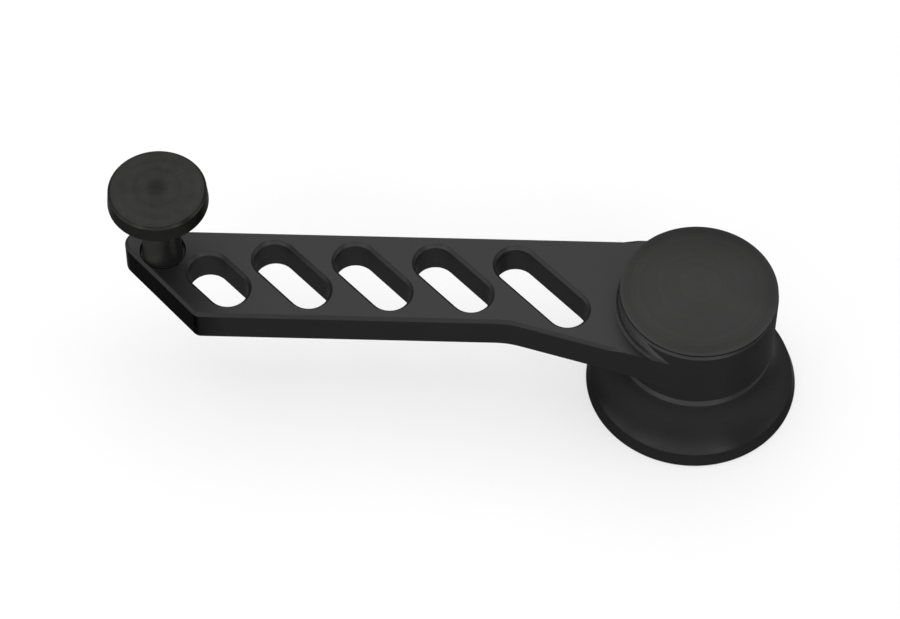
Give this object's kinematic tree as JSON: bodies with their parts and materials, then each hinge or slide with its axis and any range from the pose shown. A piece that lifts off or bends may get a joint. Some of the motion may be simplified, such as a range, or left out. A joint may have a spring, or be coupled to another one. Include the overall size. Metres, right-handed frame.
{
  "type": "crank handle",
  "caption": "Flat slotted crank arm with a round capped hub on a flared escutcheon at one end and a spinning spool knob at the other.",
  "frame": {"origin": "centre of the drive bore's mouth in the hub's steel insert, 1 mm above the panel", "axes": "+Z along the hub's axis away from the panel, -X along the arm towards the knob"},
  "size_m": [0.1411, 0.0434, 0.0487],
  "materials": {
    "black_anodised": "satin black anodised",
    "steel_plain": "turned",
    "steel_fastener": "zinc plated",
    "spring_steel": "tempered",
    "bushing_bronze": "sintered",
    "bearing_plastic": "moulded, black",
    "seal_rubber": "matt"
  },
  "bodies": {
    "arm": {"arm": "black_anodised", "hub_cap": "black_anodised", "hub_cap_o_ring": "seal_rubber", "drive_insert": "steel_plain", "insert_screws": "steel_fastener", "drive_screw": "steel_fastener", "drive_lock_washer": "steel_fastener", "drive_flat_washer": "steel_fastener", "escutcheon_retaining_ring": "spring_steel", "escutcheon_wave_spring": "spring_steel", "knob_bushing_upper": "bushing_bronze", "knob_bushing_lower": "bushing_bronze"},
    "knob": {"knob": "black_anodised", "knob_thrust_washer": "bearing_plastic", "knob_wave_washer": "spring_steel", "knob_retaining_washer": "steel_fastener", "knob_screw": "steel_fastener"},
    "escutcheon": {"escutcheon": "black_anodised", "escutcheon_liner": "bearing_plastic", "escutcheon_retaining_washer": "steel_plain"}
  },
  "joints": [
    {"name": "knob_spin", "type": "hinge", "parent": "arm", "child": "knob", "pos_m": [-0.1092, 0.0103, 0.0261], "axis": [0, 0, 1], "continuous": true},
    {"name": "escutcheon_spin", "type": "hinge", "parent": "arm", "child": "escutcheon", "pos_m": [0, 0, 0], "axis": [0, 0, 1], "continuous": true}
  ]
}
